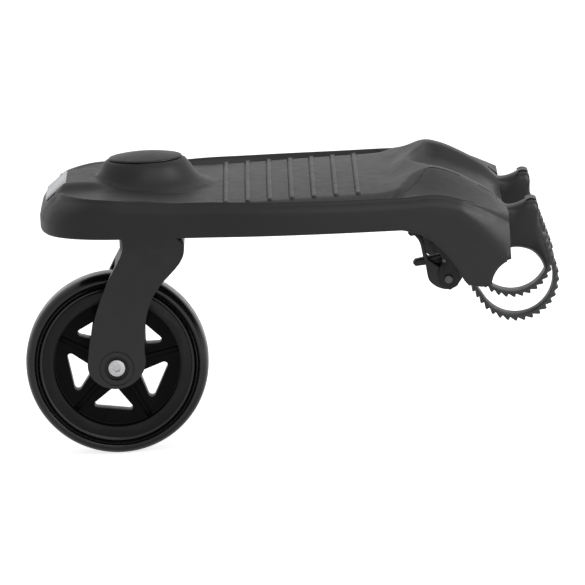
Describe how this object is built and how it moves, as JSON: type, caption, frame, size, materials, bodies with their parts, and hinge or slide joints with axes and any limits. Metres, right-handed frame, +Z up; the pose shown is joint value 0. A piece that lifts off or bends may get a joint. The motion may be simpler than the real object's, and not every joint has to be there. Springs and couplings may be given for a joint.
{
  "type": "buggy board",
  "caption": "Ride-on standing board for a pushchair, with a trailing caster wheel, ribbed deck, rear reflector and ratchet-strap axle clamps.",
  "frame": {"origin": "on the centre line of the pushchair axle held by the two clamps, midway between them", "axes": "+X forward from the wheel towards the pushchair, +Y to the left along the axle, +Z up"},
  "size_m": [0.4399, 0.28, 0.2471],
  "materials": {
    "deck_plastic": "fine moulded texture",
    "cap_plastic": "fine moulded texture",
    "grip_rubber": "matt",
    "reflector": "prismatic silver",
    "bush_nylon": "smooth",
    "zinc_steel": "zinc plated",
    "spring_steel": "bright wire",
    "clamp_plastic": "satin",
    "strap_plastic": "satin",
    "lever_plastic": "satin",
    "fork_plastic": "satin",
    "rim_plastic": "satin",
    "tyre": "smooth gloss"
  },
  "bodies": {
    "deck": {"deck_shell": "deck_plastic", "deck_base": "deck_plastic", "grip_strips": "grip_rubber", "reflector": "reflector", "pivot_cap": "cap_plastic", "kingpin_bush_upper": "bush_nylon", "kingpin_bush_lower": "bush_nylon", "base_screws": "zinc_steel", "saddle_right": "clamp_plastic", "saddle_left": "clamp_plastic", "saddle_screws": "zinc_steel", "strap_pins": "zinc_steel", "strap_keeper_right": "strap_plastic", "strap_keeper_left": "strap_plastic", "ratchet_frame_right": "clamp_plastic", "ratchet_frame_left": "clamp_plastic", "ratchet_screws": "zinc_steel", "lever_pins": "zinc_steel", "pawl_pins": "zinc_steel", "pawl_springs": "spring_steel"},
    "caster": {"fork": "fork_plastic", "kingpin": "zinc_steel", "kingpin_nut": "zinc_steel", "kingpin_washer": "zinc_steel", "thrust_washer": "bush_nylon", "axle_bolt": "zinc_steel", "axle_nut": "zinc_steel", "axle_sleeve": "zinc_steel"},
    "wheel": {"wheel_rim": "rim_plastic", "tyre": "tyre", "wheel_bushes": "bush_nylon"},
    "strap_right": {"strap_right": "strap_plastic"},
    "lever_right": {"lever_right": "lever_plastic"},
    "pawl_right": {"pawl_right": "lever_plastic"},
    "strap_left": {"strap_left": "strap_plastic"},
    "lever_left": {"lever_left": "lever_plastic"},
    "pawl_left": {"pawl_left": "lever_plastic"}
  },
  "joints": [
    {"name": "caster_swivel", "type": "hinge", "parent": "deck", "child": "caster", "pos_m": [-0.296, 0, 0.06], "axis": [0, 0, 1], "continuous": true},
    {"name": "wheel_spin", "type": "hinge", "parent": "caster", "child": "wheel", "pos_m": [-0.328, 0, -0.068], "axis": [0, 1, 0], "continuous": true},
    {"name": "strap_right_open", "type": "hinge", "parent": "deck", "child": "strap_right", "pos_m": [0.014, -0.074, 0.056], "axis": [0, -1, 0], "range_deg": [0, 75]},
    {"name": "lever_right_lift", "type": "hinge", "parent": "deck", "child": "lever_right", "pos_m": [-0.0555, -0.074, 0.0015], "axis": [0, -1, 0], "range_deg": [0, 45]},
    {"name": "pawl_right_release", "type": "hinge", "parent": "deck", "child": "pawl_right", "pos_m": [-0.05838, -0.074, 0.0167], "axis": [0, 1, 0], "range_deg": [0, 12], "stiffness_Nm_per_rad": 0.08, "springref_deg": -17.19},
    {"name": "strap_left_open", "type": "hinge", "parent": "deck", "child": "strap_left", "pos_m": [0.014, 0.074, 0.056], "axis": [0, -1, 0], "range_deg": [0, 75]},
    {"name": "lever_left_lift", "type": "hinge", "parent": "deck", "child": "lever_left", "pos_m": [-0.0555, 0.074, 0.0015], "axis": [0, -1, 0], "range_deg": [0, 45]},
    {"name": "pawl_left_release", "type": "hinge", "parent": "deck", "child": "pawl_left", "pos_m": [-0.05838, 0.074, 0.0167], "axis": [0, 1, 0], "range_deg": [0, 12], "stiffness_Nm_per_rad": 0.08, "springref_deg": -17.19}
  ]
}
